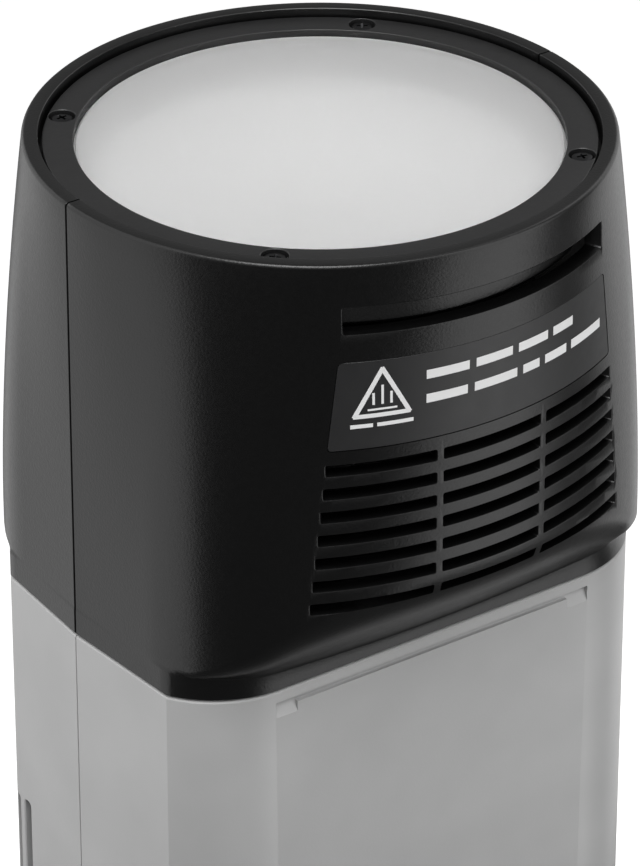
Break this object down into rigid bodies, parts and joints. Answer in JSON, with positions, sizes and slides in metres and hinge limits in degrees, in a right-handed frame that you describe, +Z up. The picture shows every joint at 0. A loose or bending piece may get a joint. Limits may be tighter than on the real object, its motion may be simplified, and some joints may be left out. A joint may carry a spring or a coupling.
{
  "type": "monolight strobe",
  "caption": "Pocket battery strobe: a grey slab body with a plug-in round black flash head, frosted glass front and a clip-on battery pack.",
  "frame": {"origin": "middle of the body's base, on the seam side of the front shell", "axes": "+Z up along the body to the flash head, -Y out of the wide front face, +X out of the narrow side with the control panel"},
  "size_m": [0.0756, 0.0744, 0.2293],
  "materials": {
    "head_black": "fine moulded texture, matte",
    "ring_black": "satin black powder coat",
    "screw_black": "black oxide",
    "body_grey": "fine moulded texture, matte mid grey",
    "frosted_glass": "frosted",
    "flash_glass": "clear",
    "label": null,
    "rubber": "soft matte",
    "bright_metal": "bright formed reflector",
    "steel": "satin",
    "brass": "contact plating",
    "board": "circuit board lacquer",
    "capacitor_sleeve": "shrink sleeve",
    "cell_wrap": "shrink sleeve",
    "panel": "smooth satin",
    "key": "moulded, matte",
    "red_key": "moulded, satin",
    "display": "clear window over a grey display"
  },
  "bodies": {
    "head": {"head_shell_front": "head_black", "head_shell_rear": "head_black", "accessory_ring": "ring_black", "ring_screw_1": "screw_black", "ring_screw_2": "screw_black", "ring_screw_3": "screw_black", "ring_screw_4": "screw_black", "front_glass": "frosted_glass", "glass_seal": "rubber", "lamp_collar": "head_black", "reflector": "bright_metal", "flash_tube": "flash_glass", "tube_holder": "steel", "head_base": "head_black", "head_plug": "panel", "plug_contacts": "brass", "label_plate": "label"},
    "root": {"body_shell_front": "body_grey", "body_shell_rear": "body_grey", "head_socket": "panel", "socket_contacts": "brass", "main_board": "board", "flash_transformer": "steel", "heat_sink": "steel", "capacitor_1": "capacitor_sleeve", "capacitor_2": "capacitor_sleeve", "capacitor_3": "capacitor_sleeve", "bay_plate": "panel", "bay_contacts": "brass", "panel_plate": "panel", "display_window": "display", "display_module": "board", "sync_jack": "steel", "usb_port": "steel", "tripod_bush_side": "steel", "tripod_bush_base": "steel", "shell_screw_1": "screw_black", "shell_screw_2": "screw_black", "shell_screw_3": "screw_black", "shell_screw_4": "screw_black", "release_spring": "steel"},
    "battery": {"battery_case": "body_grey", "battery_lid": "panel", "battery_contacts": "brass", "cell_1": "cell_wrap", "cell_2": "cell_wrap", "cell_3": "cell_wrap", "cell_4": "cell_wrap"},
    "battery_latch": {"battery_latch": "key"},
    "head_release": {"head_release": "key"},
    "menu_button_1": {"menu_button_1": "key"},
    "menu_button_2": {"menu_button_2": "key"},
    "menu_button_3": {"menu_button_3": "key"},
    "menu_button_4": {"menu_button_4": "key"},
    "select_dial": {"select_dial": "key"},
    "set_button": {"set_button": "key"},
    "test_button": {"test_button": "red_key"},
    "power_switch": {"power_switch": "key"},
    "port_cover": {"port_cover": "rubber"}
  },
  "joints": [
    {"name": "head_lift", "type": "slide", "parent": "root", "child": "head", "axis": [0, 0, 1], "range_m": [0, 0.03]},
    {"name": "battery_pull", "type": "slide", "parent": "root", "child": "battery", "axis": [0, 1, 0], "range_m": [0, 0.03]},
    {"name": "battery_latch_press", "type": "slide", "parent": "battery", "child": "battery_latch", "axis": [0, -1, 0], "range_m": [0, 0.0015], "stiffness_N_per_m": 600},
    {"name": "head_release_press", "type": "slide", "parent": "root", "child": "head_release", "axis": [0, -1, 0], "range_m": [0, 0.002], "stiffness_N_per_m": 600, "deforming": ["release_spring"]},
    {"name": "menu_button_1_press", "type": "slide", "parent": "root", "child": "menu_button_1", "axis": [-1, 0, 0], "range_m": [0, 0.0008], "stiffness_N_per_m": 600},
    {"name": "menu_button_2_press", "type": "slide", "parent": "root", "child": "menu_button_2", "axis": [-1, 0, 0], "range_m": [0, 0.0008], "stiffness_N_per_m": 600},
    {"name": "menu_button_3_press", "type": "slide", "parent": "root", "child": "menu_button_3", "axis": [-1, 0, 0], "range_m": [0, 0.0008], "stiffness_N_per_m": 600},
    {"name": "menu_button_4_press", "type": "slide", "parent": "root", "child": "menu_button_4", "axis": [-1, 0, 0], "range_m": [0, 0.0008], "stiffness_N_per_m": 600},
    {"name": "dial_turn", "type": "hinge", "parent": "root", "child": "select_dial", "pos_m": [0.0367, 0.001, 0.11], "axis": [1, 0, 0], "continuous": true},
    {"name": "set_button_press", "type": "slide", "parent": "root", "child": "set_button", "axis": [-1, 0, 0], "range_m": [0, 0.0008], "stiffness_N_per_m": 600},
    {"name": "test_button_press", "type": "slide", "parent": "root", "child": "test_button", "axis": [-1, 0, 0], "range_m": [0, 0.0008], "stiffness_N_per_m": 600},
    {"name": "power_slide", "type": "slide", "parent": "root", "child": "power_switch", "axis": [0, 0, 1], "range_m": [0, 0.0045]},
    {"name": "port_cover_hinge", "type": "hinge", "parent": "root", "child": "port_cover", "pos_m": [-0.0359, -0.0095, 0.09565], "axis": [0, -1, 0], "range_deg": [0, 100]}
  ]
}
